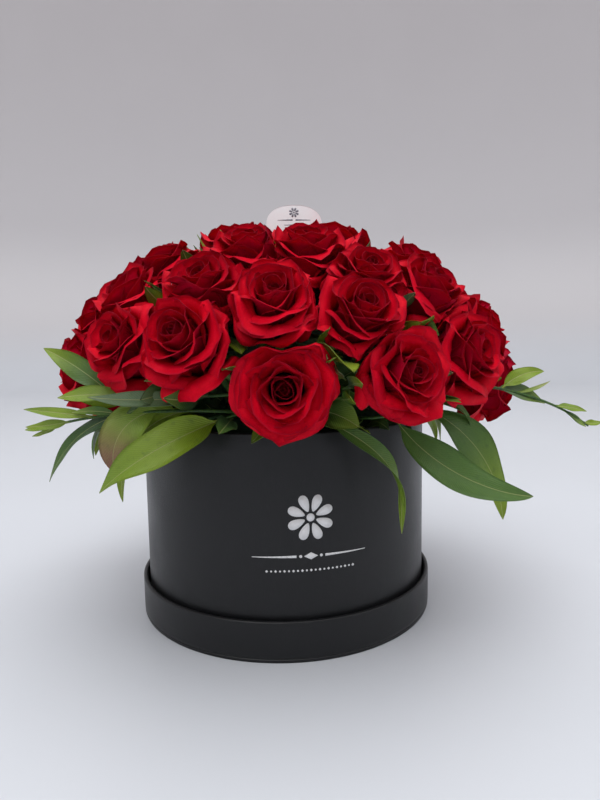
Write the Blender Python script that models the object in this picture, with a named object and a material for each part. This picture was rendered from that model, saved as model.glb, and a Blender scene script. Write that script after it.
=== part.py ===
"""Round hat box of roses: a dome of cut red roses and long-leaved sprigs pushed into floral foam.

The box stands in its own upturned lid, which serves as a tray. Metres, +Z up. The origin is the centre
of the tray's underside, and the front of the arrangement faces -Y.
"""

import math

import bmesh
import bpy
from mathutils import Euler, Matrix, Vector

# ---- driving dimensions ------------------------------------------------------------------------
TRAY_RADIUS = 0.115
TRAY_HEIGHT = 0.028
BOX_RADIUS = 0.110
RIM_HEIGHT = 0.150  # top of the box above the table
BOARD = 0.0018  # paperboard
FLOOR_BOARD = 0.0026
PAPER = 0.0004  # cover paper
FIT = 0.0003  # between pieces that touch
TURN_IN = 0.018  # how far the cover paper runs down inside the rim

LINER_RADIUS = 0.1045
LINER_WALL = 0.0008
LINER_TOP = 0.140
FOAM_RADIUS = 0.1022
FOAM_TOP = 0.232

# The bloom tips lie on a half ellipsoid above the rim, which sits a little to the right of the box.
DOME_OFFSET = 0.004
DOME_RADIUS = 0.172
DOME_RISE = 0.121
DOME_BASE = 0.178

BLOOM_RADIUS = 0.028
BLOOM_LENGTH = 0.048
BLOOM_WIDEST = 0.019  # below the tip
STEM_RADIUS = 0.0024
SPRIG_RADIUS = 0.0014
HOLE_CLEARANCE = 0.0009
BLADE_THICKNESS = 0.0007

CARD_WIDTH = 0.044
CARD_HEIGHT = 0.030
CARD_THICKNESS = 0.0008
CARD_CENTRE = Vector((0.011, 0.004, 0.2990))
PICK_RADIUS = 0.0012
PICK_FOOT = 0.196

BOX_SEGMENTS = 48
BLOOM_SEGMENTS = 9

# Each bloom's azimuth from the front towards +X and its dome angle from the top, in degrees.
LOW_RING = (
    (-1, 88), (26, 84), (49, 78), (77, 92), (101, 86), (125, 89), (149, 85), (173, 89),
    (-163, 85), (-139, 89), (-115, 85), (-91, 88), (-68, 82), (-43, 72), (-24, 71),
)
MIDDLE_RING = (
    (-3, 58), (18, 63), (47, 53), (71, 69), (96, 61), (122, 64), (149, 60), (176, 64),
    (-157, 60), (-131, 64), (-105, 60), (-79, 63), (-55, 54), (-24, 51),
)
UPPER_RING = (
    (-60, 38), (-16, 33), (10, 33), (25, 48), (66, 39), (101, 40), (137, 37), (174, 41),
    (-148, 37), (-103, 39),
)
CROWN = ((-72, 15), (60, 15), (180, 15))

# Where each ring's stems end in the foam: distance from the centre line and height.
RINGS = (
    ("low", LOW_RING, 0.060, 0.150),
    ("middle", MIDDLE_RING, 0.054, 0.184),
    ("upper", UPPER_RING, 0.034, 0.198),
    ("crown", CROWN, 0.014, 0.201),
)

# A sprig's stem: azimuth, distance and height where it starts in the foam, then its route.
# A route is heading (from -Y towards +X), pitch, turn and droop over its length (degrees), and length.
# A leaf: how far along the stem it starts, its route, its widest width, and its roll about its midrib
# (degrees; on a leaf that points to +X, a positive roll turns its upper face to the front).
SPRIGS = {
    "sprig_left_long": {
        "start": (-12, 0.076, 0.157),
        "stem": (-33, 14, -98, 30, 0.156),
        "leaves": (
            (0.46, (-80, 6, 20, 112, 0.056), 0.021, -70),
            (0.58, (-100, -6, -3, 62, 0.078), 0.010, -50),
            (0.74, (-102, 6, -3, 2, 0.050), 0.005, -60),
            (0.86, (-102, -12, -6, -9, 0.034), 0.005, -60),
            (0.34, (-92, -2, -20, 96, 0.088), 0.015, -70),
        ),
    },
    "sprig_left_broad": {
        "start": (-8, 0.078, 0.156),
        "stem": (-30, 25, -23, 44, 0.046),
        "leaves": ((0.90, (-44, -10, -66, 34, 0.092), 0.024, -58),),
    },
    "sprig_left_grey": {
        "start": (-11, 0.076, 0.175),
        "stem": (-22, -2, -112, -6, 0.122),
        "leaves": (
            (0.36, (-48, -2, -68, -6, 0.080), 0.010, -50),
            (0.80, (-84, 6, -10, 14, 0.044), 0.011, -55),
            (0.93, (-92, 44, -12, 20, 0.052), 0.013, -60),
        ),
    },
    "sprig_front": {
        "start": (9, 0.078, 0.160),
        "stem": (12, 34, 20, 80, 0.044),
        "leaves": (
            (0.70, (38, 6, 24, 40, 0.034), 0.020, 50),
            (0.92, (36, -10, 140, 84, 0.100), 0.007, 40),
        ),
    },
    "sprig_right_broad": {
        "start": (31, 0.078, 0.157),
        "stem": (8, -8, 136, -30, 0.074),
        "leaves": (
            (0.62, (58, -30, 45, 0, 0.106), 0.024, 55),
            (0.90, (90, -22, 18, 62, 0.108), 0.020, 60),
            (0.95, (96, 22, 3, 112, 0.052), 0.008, 40),
        ),
    },
    "sprig_right_tip": {
        "start": (58, 0.078, 0.171),
        "stem": (58, 13, 54, 46, 0.168),
        "leaves": (
            (0.52, (96, -6, -1, 24, 0.040), 0.009, 50),
            (0.55, (98, 44, 5, 50, 0.036), 0.008, 60),
            (0.80, (100, -4, 0, 14, 0.026), 0.005, 50),
            (0.84, (101, -34, 2, 0, 0.024), 0.005, 50),
        ),
    },
    "sprig_back_right": {
        "start": (137, 0.078, 0.158),
        "stem": (146, 13, -40, 46, 0.100),
        "leaves": (
            (0.45, (150, 4, 30, 80, 0.080), 0.018, -20),
            (0.72, (112, 0, -20, 90, 0.085), 0.020, 10),
            (0.95, (128, -14, 10, 60, 0.070), 0.014, 0),
        ),
    },
    "sprig_back_left": {
        "start": (-127, 0.078, 0.158),
        "stem": (-134, 13, 46, 46, 0.104),
        "leaves": (
            (0.45, (-146, 4, -30, 84, 0.078), 0.018, 20),
            (0.72, (-102, 0, 24, 90, 0.088), 0.020, -10),
            (0.95, (-120, -14, -10, 60, 0.072), 0.014, 0),
        ),
    },
}

# Principled colour (linear), roughness.
FINISHES = {
    "black_paper": ((0.016, 0.017, 0.020), 0.55),
    "grey_board": ((0.24, 0.21, 0.17), 0.90),
    "liner_film": ((0.10, 0.12, 0.11), 0.35),
    "floral_foam": ((0.045, 0.13, 0.05), 0.95),
    "red_petal": ((0.48, 0.004, 0.012), 0.55),
    "leaf_green": ((0.09, 0.19, 0.05), 0.50),
    "white_card": ((0.82, 0.80, 0.80), 0.45),
    "clear_plastic": ((0.70, 0.74, 0.72), 0.30),
}


# ---- scene and object helpers ------------------------------------------------------------------
def clear_scene():
    for old in list(bpy.data.objects):
        bpy.data.objects.remove(old, do_unlink=True)


def finish(name):
    """The named finish's material, made on first use."""
    material = bpy.data.materials.get(name)
    if material is None:
        colour, roughness = FINISHES[name]
        material = bpy.data.materials.new(name)
        material.use_nodes = True
        shader = material.node_tree.nodes["Principled BSDF"]
        shader.inputs["Base Color"].default_value = (*colour, 1.0)
        shader.inputs["Roughness"].default_value = roughness
        shader.inputs["Metallic"].default_value = 0.0
    return material


def frame_empty(name, location, parent=None):
    """An empty on a moving body's slide axis, which the body's pieces are parented to."""
    empty = bpy.data.objects.new(name, None)
    bpy.context.scene.collection.objects.link(empty)
    empty.empty_display_size = 0.02
    empty.parent = parent
    empty.location = Vector(location) - (parent.matrix_world.translation if parent else Vector())
    bpy.context.view_layer.update()
    return empty


def solid(name, bm, finish_name, smooth_under=35):
    """A linked object that owns the bmesh, with outward normals."""
    bmesh.ops.recalc_face_normals(bm, faces=bm.faces)
    mesh = bpy.data.meshes.new(name)
    bm.to_mesh(mesh)
    bm.free()
    mesh.materials.append(finish(finish_name))
    mesh.shade_smooth()
    mesh.set_sharp_from_angle(angle=math.radians(smooth_under))
    made = bpy.data.objects.new(name, mesh)
    bpy.context.scene.collection.objects.link(made)
    return made


def place(piece, parent, matrix=None):
    """Puts a piece, modelled in its own frame, at a world matrix under its parent."""
    piece.parent = parent
    piece.matrix_parent_inverse = Matrix.Identity(4)
    world = matrix if matrix is not None else Matrix.Identity(4)
    piece.matrix_local = parent.matrix_world.inverted() @ world
    return piece


def combined(base, others, operation):
    """The base object with each of the others joined to it or cut from it; the others are removed."""
    for other in others:
        step = base.modifiers.new(operation.lower(), "BOOLEAN")
        step.operation = operation
        step.solver = "EXACT"
        step.object = other
        graph = bpy.context.evaluated_depsgraph_get()
        result = bpy.data.meshes.new_from_object(base.evaluated_get(graph))
        base.modifiers.clear()
        base.data = result
        bpy.data.objects.remove(other, do_unlink=True)
    return base


# ---- basic shapes ------------------------------------------------------------------------------
def turned(profile, segments, closed=False):
    """A bmesh of (radius, height) points spun round Z. An open profile starts and ends on the axis."""
    bm = bmesh.new()
    points = [bm.verts.new((radius, 0.0, height)) for radius, height in profile]
    pairs = zip(points, points[1:] + points[:1] if closed else points[1:])
    edges = [bm.edges.new(pair) for pair in pairs]
    bmesh.ops.spin(
        bm, geom=points + edges, cent=(0, 0, 0), axis=(0, 0, 1),
        angle=math.tau, steps=segments, use_merge=True,
    )
    bmesh.ops.remove_doubles(bm, verts=bm.verts, dist=1e-6)
    return bm


def disc(name, radius, bottom, top, finish_name):
    profile = [(0, bottom), (radius, bottom), (radius, top), (0, top)]
    return solid(name, turned(profile, BOX_SEGMENTS), finish_name)


def rounded_lip(inner, outer, bottom_inner, bottom_outer, top, wall):
    """Section of a paper skin that runs up outside a board edge, over it and down inside."""
    soft = wall * 1.5
    return [
        (outer, bottom_outer), (outer, top - soft), (outer - soft, top),
        (inner + soft, top), (inner, top - soft), (inner, bottom_inner),
        (inner + wall, bottom_inner), (inner + wall, top - wall),
        (outer - wall, top - wall), (outer - wall, bottom_outer),
    ]


def tube(route, radius, sides):
    """A bmesh of a capped tube along world points."""
    bm = bmesh.new()
    loops = []
    side = None
    for index, point in enumerate(route):
        ahead = route[min(index + 1, len(route) - 1)]
        behind = route[max(index - 1, 0)]
        along = (ahead - behind).normalized()
        if side is None:
            side = along.orthogonal().normalized()
        side = (side - along * side.dot(along)).normalized()
        other = along.cross(side)
        turns = [math.tau * k / sides for k in range(sides)]
        loops.append([
            bm.verts.new(point + radius * (math.cos(t) * side + math.sin(t) * other)) for t in turns
        ])
    for low, high in zip(loops, loops[1:]):
        for k in range(sides):
            bm.faces.new((low[k], low[(k + 1) % sides], high[(k + 1) % sides], high[k]))
    bm.faces.new(loops[0][::-1])
    bm.faces.new(loops[-1])
    return bm


def on_circle(azimuth, radius, height):
    """The point at an azimuth measured from the front (-Y) towards +X, in degrees."""
    turn = math.radians(azimuth)
    return Vector((radius * math.sin(turn), -radius * math.cos(turn), height))


def route_from(start, heading, pitch, turn, droop, length, steps):
    """Points of a curve that turns sideways and droops evenly along its length."""
    points = [start.copy()]
    for k in range(steps):
        share = (k + 0.5) / steps
        yaw = math.radians(heading + turn * share)
        rise = math.radians(pitch - droop * share)
        step = Vector((math.sin(yaw) * math.cos(rise), -math.cos(yaw) * math.cos(rise), math.sin(rise)))
        points.append(points[-1] + step * (length / steps))
    return points


def point_at(route, share):
    place_along = share * (len(route) - 1)
    index = min(int(place_along), len(route) - 2)
    return route[index].lerp(route[index + 1], place_along - index)


# ---- tray: the box's lid, upturned ---------------------------------------------------------------
def build_tray(parent):
    place(disc("lid_panel", TRAY_RADIUS - 0.0002, 0.0, FLOOR_BOARD, "black_paper"), parent)
    base = FLOOR_BOARD + FIT
    outer = TRAY_RADIUS - PAPER - FIT
    inner = outer - BOARD
    top = TRAY_HEIGHT - PAPER - FIT
    band = [(outer, base), (outer, top), (inner, top), (inner, base)]
    place(solid("lid_band", turned(band, BOX_SEGMENTS, closed=True), "grey_board"), parent)
    skin = rounded_lip(inner - FIT - PAPER, TRAY_RADIUS, base, base, TRAY_HEIGHT, PAPER)
    place(solid("lid_wrap", turned(skin, BOX_SEGMENTS, closed=True), "black_paper"), parent)


# ---- hat box -----------------------------------------------------------------------------------
def build_box(parent, foot):
    outer = BOX_RADIUS - PAPER - FIT
    inner = outer - BOARD
    top = RIM_HEIGHT - PAPER - FIT
    wall = [(outer, foot), (outer, top), (inner, top), (inner, foot)]
    place(solid("box_wall", turned(wall, BOX_SEGMENTS, closed=True), "grey_board"), parent)
    skin = rounded_lip(inner - FIT - PAPER, BOX_RADIUS, RIM_HEIGHT - TURN_IN, foot, RIM_HEIGHT, PAPER)
    place(solid("box_wrap", turned(skin, BOX_SEGMENTS, closed=True), "black_paper"), parent)
    place(disc("box_floor", inner - FIT, foot, foot + FLOOR_BOARD, "black_paper"), parent)


# ---- liner and foam ----------------------------------------------------------------------------
def build_liner(parent, foot):
    inner = LINER_RADIUS - LINER_WALL
    cup = [
        (0, foot), (LINER_RADIUS, foot), (LINER_RADIUS, LINER_TOP),
        (inner, LINER_TOP), (inner, foot + LINER_WALL), (0, foot + LINER_WALL),
    ]
    place(solid("liner", turned(cup, BOX_SEGMENTS), "liner_film"), parent)


def build_foam(parent, foot, channels):
    """The foam block: a cylinder that fills the liner, with a carved dome, and a channel for each stem."""
    block = [
        (0, foot), (FOAM_RADIUS, foot), (FOAM_RADIUS, 0.146), (0.094, 0.164),
        (0.080, 0.194), (0.056, 0.220), (0.028, FOAM_TOP), (0, FOAM_TOP),
    ]
    foam = solid("foam", turned(block, 24), "floral_foam")
    cutters = []
    for k, (route, radius) in enumerate(channels):
        cutters.append(solid(f"channel_{k}", tube(route, radius, 6), "floral_foam"))
    place(combined(foam, cutters, "DIFFERENCE"), parent)


# ---- roses -------------------------------------------------------------------------------------
class Bloom:
    """One rose: where its tip is, which way it faces, and where its stem ends in the foam."""

    def __init__(self, name, azimuth, angle, stem_radius, stem_height):
        self.name = name
        down = math.radians(angle)
        self.tip = on_circle(
            azimuth, DOME_RADIUS * math.sin(down), DOME_BASE + DOME_RISE * math.cos(down)
        )
        slope = math.atan2(math.sin(down) / DOME_RADIUS, math.cos(down) / DOME_RISE)
        self.tip.x += DOME_OFFSET
        self.facing = on_circle(azimuth, math.sin(slope), math.cos(slope))
        self.heart = self.tip - self.facing * BLOOM_WIDEST
        self.neck = self.tip - self.facing * (BLOOM_LENGTH + 0.003)
        self.foot = on_circle(azimuth, stem_radius, stem_height)

    def matrix(self):
        return Matrix.Translation(self.tip) @ self.facing.to_track_quat("Z", "Y").to_matrix().to_4x4()

    def channel(self):
        """The hole in the foam that its stem runs in."""
        along = (self.foot - self.neck).normalized()
        return [self.neck, self.foot + along * 0.0012], STEM_RADIUS + HOLE_CLEARANCE


def all_blooms():
    blooms = []
    for ring, places, stem_radius, stem_height in RINGS:
        for k, (azimuth, angle) in enumerate(places):
            name = f"rose_{ring}_{k + 1:02d}"
            blooms.append(Bloom(name, azimuth, angle, stem_radius, stem_height))
    return blooms


def build_rose(bloom, blooms, parent):
    """Head and calyx turned round the bloom's own axis, flattened where neighbours press, plus its stem."""
    r, length = BLOOM_RADIUS, BLOOM_LENGTH
    section = [
        (0, -0.002), (0.45 * r, 0), (0.82 * r, -0.006), (r, -BLOOM_WIDEST),
        (0.88 * r, -0.031), (0.45 * r, -0.042), (0.16 * r, -length), (0, -length),
    ]
    head = turned(section, BLOOM_SEGMENTS)
    world = bloom.matrix()
    inward = world.inverted()
    for other in blooms:
        apart = other.heart - bloom.heart
        if other is bloom or apart.length > 2 * r:
            continue
        middle = bloom.heart + apart * 0.5 - apart.normalized() * (FIT / 2 + 0.0001)
        cut = bmesh.ops.bisect_plane(
            head, geom=head.verts[:] + head.edges[:] + head.faces[:], clear_outer=True,
            plane_co=inward @ middle, plane_no=inward.to_3x3() @ apart.normalized(),
        )
        rim = [item for item in cut["geom_cut"] if isinstance(item, bmesh.types.BMEdge)]
        if rim:
            bmesh.ops.edgenet_fill(head, edges=rim)
    rose = solid(bloom.name, head, "red_petal")
    start = bloom.tip - bloom.facing * (length - 0.010)
    stem_route = [inward @ point for point in (start, bloom.neck, bloom.foot)]
    stem = solid(bloom.name + "_stem", tube(stem_route, STEM_RADIUS, 6), "leaf_green")
    place(combined(rose, [stem], "UNION"), parent, world)


# ---- foliage -----------------------------------------------------------------------------------
def blade(route, width, roll):
    """A bmesh of a thin leaf along its midrib, widest before the middle, with raised edges."""
    bm = bmesh.new()
    loops = []
    count = len(route) - 1
    for k, point in enumerate(route):
        share = k / count
        along = (route[min(k + 1, count)] - route[max(k - 1, 0)]).normalized()
        flat = Vector((along.x, along.y, 0))
        across = Vector((0, 0, 1)).cross(flat if flat.length > 1e-4 else Vector((1, 0, 0))).normalized()
        across = Matrix.Rotation(math.radians(roll), 3, along) @ across
        up = along.cross(across).normalized()
        half = 0.5 * width * max(0.12, math.sin(math.pi * share**0.8) ** 0.8)
        lift = 0.18 * half
        skin = 0.5 * BLADE_THICKNESS * up
        left, right = point - across * half + up * lift, point + across * half + up * lift
        corners = (left + skin, point + skin, right + skin, right - skin, point - skin, left - skin)
        loops.append([bm.verts.new(corner) for corner in corners])
    for low, high in zip(loops, loops[1:]):
        for k in range(6):
            bm.faces.new((low[k], low[(k + 1) % 6], high[(k + 1) % 6], high[k]))
    bm.faces.new(loops[0][::-1])
    bm.faces.new(loops[-1])
    bmesh.ops.triangulate(bm, faces=bm.faces)
    return bm


def sprig_stem(sprig):
    return route_from(on_circle(*sprig["start"]), *sprig["stem"], 9)


def sprig_channel(sprig):
    """The hole round the buried end of the stem, a little longer than the stem at that end."""
    route = sprig_stem(sprig)
    buried = [point for point in route if point.xy.length < FOAM_RADIUS]
    first = route[0] + (route[0] - route[1]).normalized() * 0.001
    return [first] + route[1 : len(buried) + 1], SPRIG_RADIUS + HOLE_CLEARANCE


def build_sprig(name, sprig, parent):
    stem_route = sprig_stem(sprig)
    stem = solid(name, tube(stem_route, SPRIG_RADIUS, 6), "leaf_green")
    leaves = []
    for k, (share, route, width, roll) in enumerate(sprig["leaves"]):
        leaf = blade(route_from(point_at(stem_route, share), *route, 6), width, roll)
        leaves.append(solid(f"{name}_leaf_{k}", leaf, "leaf_green"))
    place(combined(stem, leaves, "UNION"), parent)


# ---- care card ---------------------------------------------------------------------------------
def build_card(parent):
    """An oval card that stands in a slotted clip on top of a thin pick."""
    lean = Euler((math.radians(-8), 0, 0)).to_matrix().to_4x4()
    stand = Matrix.Translation(CARD_CENTRE) @ lean
    bm = bmesh.new()
    rim = [math.tau * k / 28 for k in range(28)]
    face = bm.faces.new([
        bm.verts.new((CARD_WIDTH / 2 * math.cos(t), -CARD_THICKNESS / 2, CARD_HEIGHT / 2 * math.sin(t)))
        for t in rim
    ])
    raised = bmesh.ops.extrude_face_region(bm, geom=[face])["geom"]
    moved = [item for item in raised if isinstance(item, bmesh.types.BMVert)]
    bmesh.ops.translate(bm, verts=moved, vec=(0, CARD_THICKNESS, 0))
    place(solid("card_plate", bm, "white_card"), parent, stand)

    clip_size = Vector((0.008, 0.0044, 0.009))
    clip_centre = Vector((0, 0, -CARD_HEIGHT / 2 - 0.0005))
    bm = bmesh.new()
    bmesh.ops.create_cube(bm, size=1, matrix=Matrix.LocRotScale(clip_centre, None, clip_size))
    clip = solid("card_pick", bm, "clear_plastic")
    slot_size = Vector((0.02, CARD_THICKNESS + 2 * FIT, CARD_HEIGHT))
    bm = bmesh.new()
    bmesh.ops.create_cube(bm, size=1, matrix=Matrix.LocRotScale(Vector((0, 0, -FIT)), None, slot_size))
    combined(clip, [solid("slot", bm, "clear_plastic")], "DIFFERENCE")
    inward = stand.inverted()
    top = stand @ (clip_centre - Vector((0, 0, clip_size.z * 0.3)))
    foot = Vector((top.x, top.y, PICK_FOOT))
    rod = solid("rod", tube([inward @ top, inward @ foot], PICK_RADIUS, 8), "clear_plastic")
    place(combined(clip, [rod], "UNION"), parent, stand)
    return [Vector((top.x, top.y, FOAM_TOP + 0.004)), foot - Vector((0, 0, 0.001))]


def main():
    clear_scene()
    box_foot = FLOOR_BOARD + FIT
    liner_foot = box_foot + FLOOR_BOARD + FIT
    foam_foot = liner_foot + LINER_WALL + FIT
    tray = frame_empty("tray_frame", (0, 0, 0))
    box = frame_empty("box_frame", (0, 0, box_foot), tray)
    arrangement = frame_empty("arrangement_frame", (0, 0, liner_foot), box)
    card = frame_empty("card_frame", (CARD_CENTRE.x, CARD_CENTRE.y, PICK_FOOT), arrangement)

    build_tray(tray)
    build_box(box, box_foot)
    build_liner(arrangement, liner_foot)
    blooms = all_blooms()
    for bloom in blooms:
        build_rose(bloom, blooms, arrangement)
    for name, sprig in SPRIGS.items():
        build_sprig(name, sprig, arrangement)
    pick_channel = (build_card(card), PICK_RADIUS + HOLE_CLEARANCE)
    channels = [bloom.channel() for bloom in blooms]
    channels += [sprig_channel(sprig) for sprig in SPRIGS.values()]
    build_foam(arrangement, foam_foot, channels + [pick_channel])


main()
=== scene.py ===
"""Looks of the flower box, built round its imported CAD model: paper, foam, roses, leaves and card."""

import math

import bpy
import numpy as np
from mathutils import Matrix, Vector


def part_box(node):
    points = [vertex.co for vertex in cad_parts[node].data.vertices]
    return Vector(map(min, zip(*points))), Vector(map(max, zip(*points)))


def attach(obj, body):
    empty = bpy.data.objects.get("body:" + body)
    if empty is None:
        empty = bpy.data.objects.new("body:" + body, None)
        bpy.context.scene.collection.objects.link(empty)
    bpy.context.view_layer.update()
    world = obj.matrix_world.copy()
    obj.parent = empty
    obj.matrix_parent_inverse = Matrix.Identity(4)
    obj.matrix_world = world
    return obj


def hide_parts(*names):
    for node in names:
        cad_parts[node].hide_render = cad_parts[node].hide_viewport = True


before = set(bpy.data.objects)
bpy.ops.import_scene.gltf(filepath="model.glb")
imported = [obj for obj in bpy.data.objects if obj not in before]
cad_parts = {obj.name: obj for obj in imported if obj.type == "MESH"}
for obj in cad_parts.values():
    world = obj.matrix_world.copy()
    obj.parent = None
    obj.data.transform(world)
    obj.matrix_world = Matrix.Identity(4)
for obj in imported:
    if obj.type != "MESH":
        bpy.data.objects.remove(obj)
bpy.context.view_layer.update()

# ---- dimensions as the CAD model has them (metres) ----
BOARD = 0.0018
PAPER = 0.0004
FIT = 0.0003
LINER_WALL = 0.0008

# The dome of bloom tips is half an ellipsoid: its middle (along X and up), its radius and its rise.
DOME_OFFSET = 0.004
DOME_RADIUS = 0.172
DOME_RISE = 0.121
DOME_BASE = 0.178

BLOOM_LENGTH = 0.048
STEM_RADIUS = 0.0024
SPRIG_RADIUS = 0.0013

# ---- details of the visual model only (metres) ----
ROUND = 160  # segments of a turned shell
SHARP_ANGLE = 40  # degrees
POLE = 0.0006  # radius where a turned panel ends at its middle
PAPER_INSIDE = 0.018  # how far the cover paper runs down inside the box
LIP = 0.0014  # height of the rounded lip where cover paper turns over a board
SOFT_EDGE = 0.0005
SEAM_WIDTH = 0.013
SEAM_STEP = 0.0003
SEAM_SLOPE = 0.0006
CARD_THICK = 0.0006
CARD_LEAN = -8  # degrees
INK = 0.00012

PETALS = 30
GOLDEN_TURN = math.radians(137.5)
PETAL_THICK = 0.00024
PETAL_RIM_THICK = 0.00012
CLOSE_BLOOMS = 0.085  # blooms whose hearts are farther apart than this don't press on each other
SEAM_SOFTNESS = 0.0045
SEAM_GAP = 0.0004

LEAF_THICK = 0.00034
FILLER_PLACES = 34
FILLER_TRIES = 16
FILLERS_IN_A_GAP = 3
FILLER_SPACING = 0.030
GAP_TRIES = 900
SPIRAL_STEP = 137.50776  # degrees from one place of a spiral to the next
RUFF_LEAVES = 34
COLLAR_LEAVES = 90
UNDER_LEAVES = 300
HEAD_DEPTH = 0.044  # a bloom's head, as the small leaves keep clear of it
HEAD_RADIUS = 0.029

# The printed mark: where its middle is on the box wall (azimuth in degrees, height) and its radius,
# how far the rule and the dots lie below it, and the dots' spacing.
MARK_AZIMUTH = 8.7
MARK_HEIGHT = 0.095
MARK_SIZE = 0.0156
RULE_DROP = 0.0255
DOTS_DROP = 0.0350
DOT_PITCH = 0.0029

# How many water drops lie on each sprayed bloom, and the places found for them.
DROPS = {
    "rose_middle_02": 34, "rose_middle_01": 6, "rose_low_02": 8, "rose_low_15": 6, "rose_middle_14": 9,
}
DROP_PLACES = {}
DROP_RINGS = 5
DROP_SIDES = 10

# Where the camera stood, and how it was turned (degrees).
CAMERA_PLACE = Vector((0.0036, -0.4829, 0.2106))
CAMERA_PITCH = 6.08
CAMERA_YAW = 1.15
CAMERA_ROLL = -0.936
CAMERA_LENS = 27.0

# Linear colours.
CRIMSON = (0.70, 0.0005, 0.0150)
# Painted shade: the dark red that a petal darkens to at its foot, deep in the bloom.
PAINTED_SHADE_RED = (0.22, 0.0003, 0.007)
MAGENTA_RED = (0.46, 0.0008, 0.026)
# Painted highlight: the pale pink laid along petal rims in place of the sheen of light grazing the velvet.
PAINTED_RIM_HIGHLIGHT = (0.44, 0.012, 0.036)
GREEN = (0.060, 0.135, 0.014)
YELLOW_GREEN = (0.21, 0.30, 0.004)
GREY_GREEN = (0.105, 0.165, 0.080)
LIGHT_GREEN = (0.20, 0.30, 0.022)
DARK_GREEN = (0.026, 0.064, 0.022)
STRAW = (0.36, 0.38, 0.15)
BROWN_PINK = (0.30, 0.12, 0.10)

# A sprig's stem: azimuth, distance and height of its start, then its route. A route is heading
# (from -Y towards +X), pitch, turn and droop over its length (degrees), and length.
# A leaf: share along the stem, route, width, roll (one angle, or one at the foot and one at the tip),
# and its colours at the foot and at the tip.
SPRIGS = {
    "sprig_left_long": {
        "start": (-12, 0.076, 0.157),
        "stem": (-33, 14, -98, 30, 0.156),
        "leaves": (
            (0.46, (-80, 6, 20, 112, 0.056), 0.024, -70, LIGHT_GREEN, BROWN_PINK),
            (0.58, (-100, -6, -3, 62, 0.078), 0.013, -50, DARK_GREEN, GREEN),
            (0.74, (-102, 6, -3, 2, 0.050), 0.007, -60, YELLOW_GREEN, LIGHT_GREEN),
            (0.86, (-102, -12, -6, -9, 0.034), 0.007, -60, LIGHT_GREEN, YELLOW_GREEN),
            (0.34, (-92, -2, -20, 96, 0.088), 0.017, -70, YELLOW_GREEN, YELLOW_GREEN),
            (0.64, (-96, 12, -4, 20, 0.030), 0.006, -50, GREEN, LIGHT_GREEN),
            (0.93, (-104, -30, 4, -16, 0.022), 0.005, -50, LIGHT_GREEN, YELLOW_GREEN),
            (0.98, (-108, -6, -6, 4, 0.024), 0.005, -60, YELLOW_GREEN, LIGHT_GREEN),
        ),
    },
    "sprig_left_broad": {
        "start": (-8, 0.078, 0.156),
        "stem": (-30, 25, -23, 44, 0.046),
        "leaves": ((0.90, (-44, -10, -66, 34, 0.092), 0.025, -58, YELLOW_GREEN, LIGHT_GREEN),),
    },
    "sprig_left_grey": {
        "start": (-11, 0.076, 0.175),
        "stem": (-22, -2, -112, -6, 0.122),
        "leaves": (
            (0.36, (-48, -2, -68, -6, 0.080), 0.012, -50, GREY_GREEN, GREY_GREEN),
            (0.80, (-84, 6, -10, 14, 0.044), 0.012, -55, LIGHT_GREEN, YELLOW_GREEN),
            (0.93, (-92, 44, -12, 20, 0.052), 0.015, -60, GREEN, YELLOW_GREEN),
        ),
    },
    "sprig_front": {
        "start": (9, 0.078, 0.160),
        "stem": (12, 34, 20, 80, 0.044),
        "leaves": (
            (0.70, (38, 6, 24, 40, 0.034), 0.022, 50, GREEN, LIGHT_GREEN),
            (0.92, (36, -10, 140, 84, 0.100), 0.013, (60, 24), GREEN, LIGHT_GREEN),
        ),
    },
    "sprig_right_broad": {
        "start": (31, 0.078, 0.157),
        "stem": (8, -8, 136, -30, 0.074),
        "leaves": (
            (0.62, (44, -50, 66, -42, 0.110), 0.024, (50, 62), GREEN, GREEN),
            (0.90, (90, -22, 18, 62, 0.108), 0.027, (40, 96), GREEN, YELLOW_GREEN),
            (0.95, (96, 22, 3, 112, 0.052), 0.010, 40, GREEN, GREEN),
        ),
    },
    "sprig_right_tip": {
        "start": (58, 0.078, 0.171),
        "stem": (58, 13, 54, 46, 0.168),
        "leaves": (
            (0.52, (96, -6, -1, 24, 0.040), 0.012, 50, GREY_GREEN, LIGHT_GREEN),
            (0.55, (98, 44, 5, 50, 0.036), 0.011, 60, YELLOW_GREEN, YELLOW_GREEN),
            (0.80, (100, -4, 0, 14, 0.026), 0.006, 50, LIGHT_GREEN, YELLOW_GREEN),
            (0.84, (101, -34, 2, 0, 0.024), 0.006, 50, GREEN, LIGHT_GREEN),
            (0.62, (96, 6, 4, -22, 0.026), 0.003, 50, LIGHT_GREEN, STRAW),
            (0.97, (104, -12, 0, -20, 0.016), 0.005, 50, YELLOW_GREEN, YELLOW_GREEN),
        ),
    },
    "sprig_back_right": {
        "start": (137, 0.078, 0.158),
        "stem": (146, 13, -40, 46, 0.100),
        "leaves": (
            (0.45, (150, 4, 30, 80, 0.080), 0.020, -20, GREEN, LIGHT_GREEN),
            (0.72, (112, 0, -20, 90, 0.085), 0.022, 10, GREEN, YELLOW_GREEN),
            (0.95, (128, -14, 10, 60, 0.070), 0.016, 0, LIGHT_GREEN, YELLOW_GREEN),
        ),
    },
    "sprig_back_left": {
        "start": (-127, 0.078, 0.158),
        "stem": (-134, 13, 46, 46, 0.104),
        "leaves": (
            (0.45, (-146, 4, -30, 84, 0.078), 0.020, 20, GREY_GREEN, LIGHT_GREEN),
            (0.72, (-102, 0, 24, 90, 0.088), 0.022, -10, GREEN, GREEN),
            (0.95, (-120, -14, -10, 60, 0.072), 0.016, 0, GREEN, YELLOW_GREEN),
        ),
    },
}


# ---- small helpers ----
def smooth(x):
    """0 below 0, 1 above 1, and an S curve between."""
    x = np.clip(x, 0.0, 1.0)
    return x * x * (3.0 - 2.0 * x)


def linked(name, mesh):
    """A new object that shows a mesh."""
    made = bpy.data.objects.new(name, mesh)
    bpy.context.scene.collection.objects.link(made)
    return made


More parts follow.
